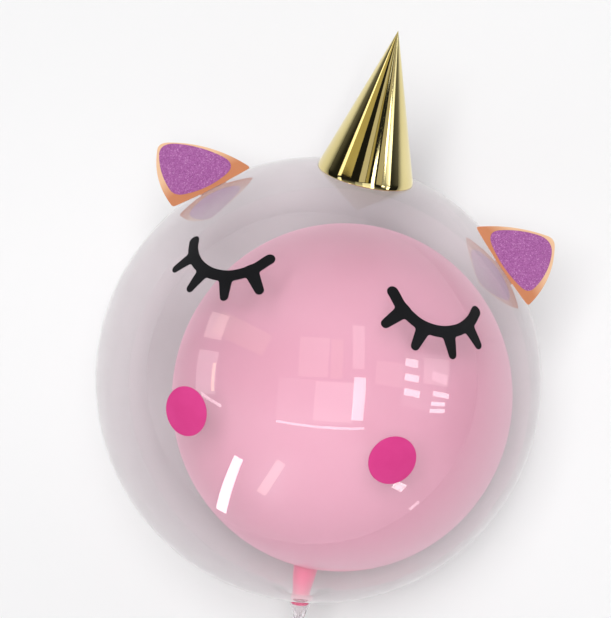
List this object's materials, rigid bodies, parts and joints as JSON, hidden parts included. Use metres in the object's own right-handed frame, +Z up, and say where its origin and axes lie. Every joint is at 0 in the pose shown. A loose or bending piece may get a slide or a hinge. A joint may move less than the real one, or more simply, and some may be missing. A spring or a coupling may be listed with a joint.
{
  "type": "unicorn bubble balloon",
  "caption": "Clear bubble balloon with a pink balloon inside, dressed as a sleeping unicorn with a gold card horn, glitter ears, black lashes and pink cheeks, lying on its back.",
  "frame": {"origin": "middle of the small flat spot that the balloon lies on, at the back of the face", "axes": "+Z up out of the face, +Y from the tail towards the horn, +X to the right of someone who looks at the face"},
  "size_m": [0.4498, 0.6161, 0.4477],
  "materials": {
    "clear_film": "clear glossy film, see-through",
    "pink_latex": "smooth satin pastel pink latex",
    "gold_card": "mirror gold laminated card",
    "copper_card": "metallic copper card",
    "purple_glitter": "purple glitter card",
    "black_vinyl": "satin black vinyl",
    "pink_vinyl": "satin hot pink vinyl"
  },
  "bodies": {
    "root": {"bubble": "clear_film", "bubble_neck": "clear_film", "inner_balloon": "pink_latex", "horn": "gold_card", "ear_left_card": "copper_card", "ear_left_glitter": "purple_glitter", "ear_right_card": "copper_card", "ear_right_glitter": "purple_glitter", "eyelash_left": "black_vinyl", "eyelash_right": "black_vinyl", "cheek_left": "pink_vinyl", "cheek_right": "pink_vinyl"}
  },
  "joints": []
}
